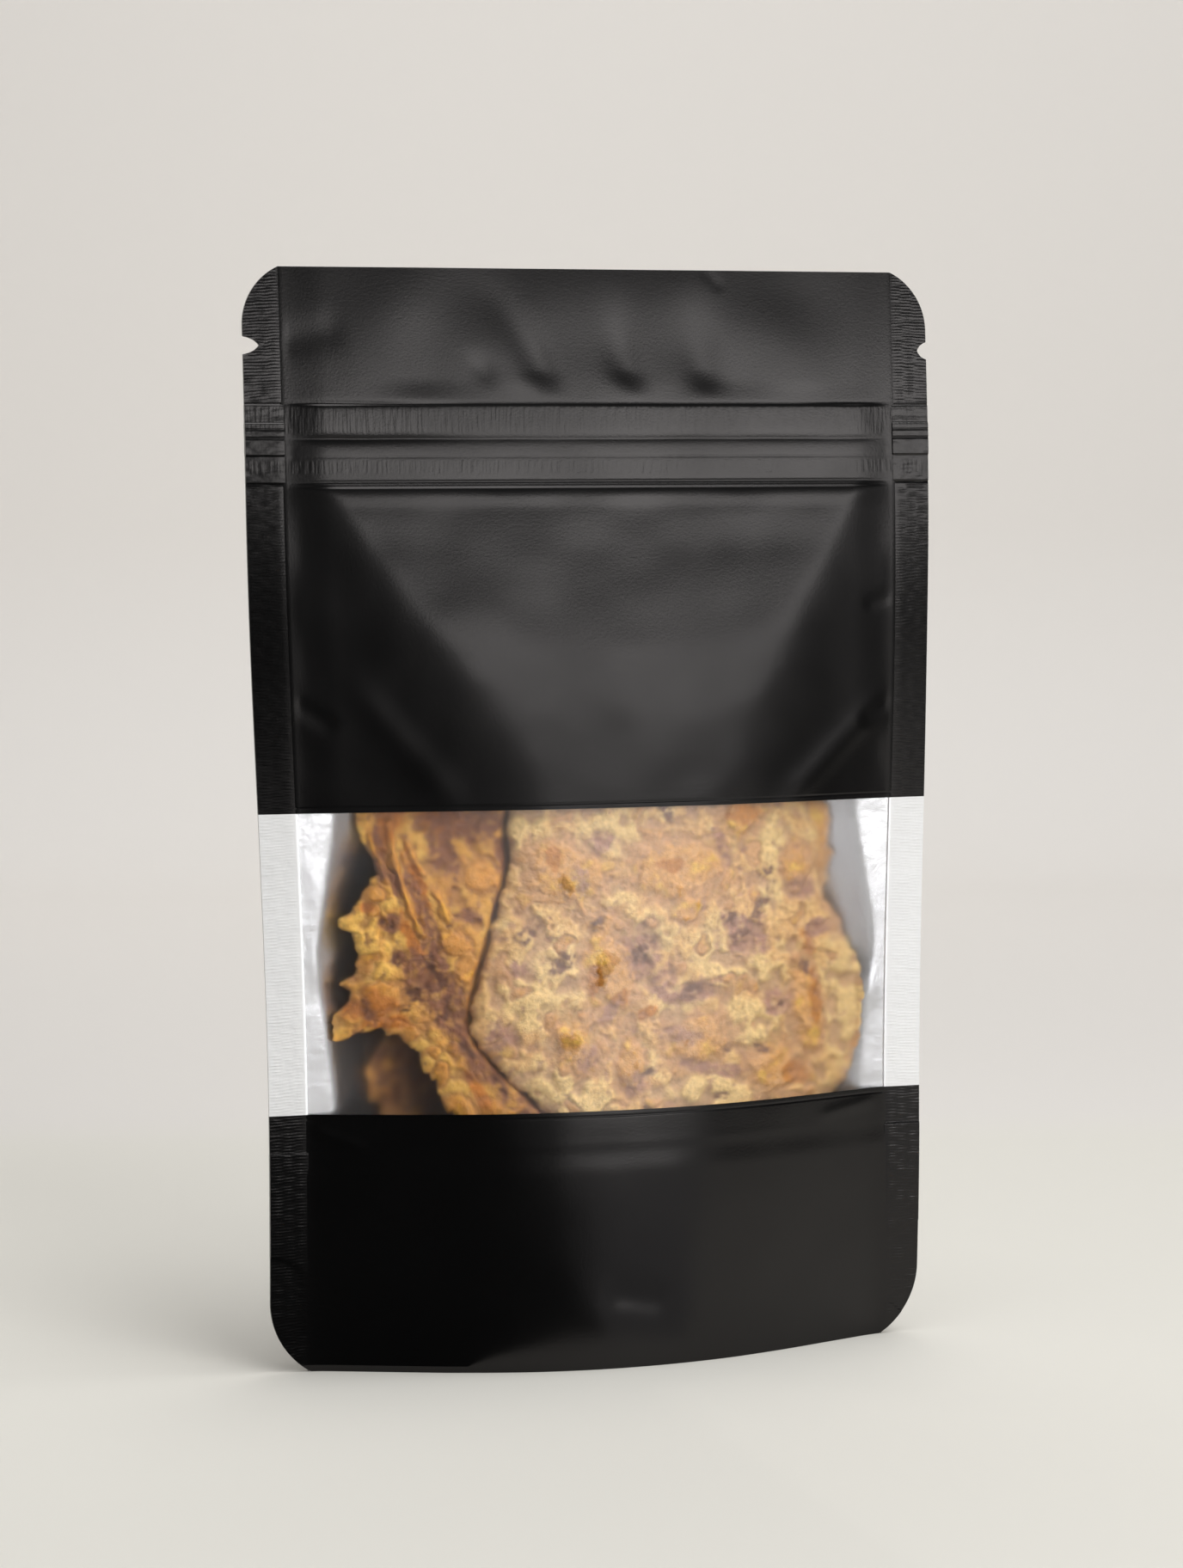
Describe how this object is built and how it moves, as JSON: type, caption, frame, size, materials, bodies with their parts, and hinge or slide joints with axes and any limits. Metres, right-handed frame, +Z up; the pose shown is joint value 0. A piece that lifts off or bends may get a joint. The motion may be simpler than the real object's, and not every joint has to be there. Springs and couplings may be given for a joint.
{
  "type": "snack pouch of banana cookies",
  "caption": "Matte black stand-up pouch with a press-to-close zip, side seals, tear notches and a bottom gusset; a clear band across the front shows flat fried banana cookies.",
  "frame": {"origin": "middle of the pouch's bounding box on the plane it stands on, under the foot", "axes": "+Z up along the height, the front panel with the clear band faces -Y, +X to the right of somebody who looks at the front"},
  "size_m": [0.11, 0.0259, 0.17],
  "materials": {
    "black_film": "matte black laminated film, soft sheen, foil lining inside",
    "clear_film": "frosted clear film",
    "cookie": "fried banana batter, floury and crumbly with soft orange fruit"
  },
  "bodies": {
    "root": {"pouch": "black_film", "window": "clear_film", "cookie_front": "cookie", "cookie_left": "cookie", "cookie_back_left": "cookie", "cookie_back_right": "cookie"}
  },
  "joints": []
}
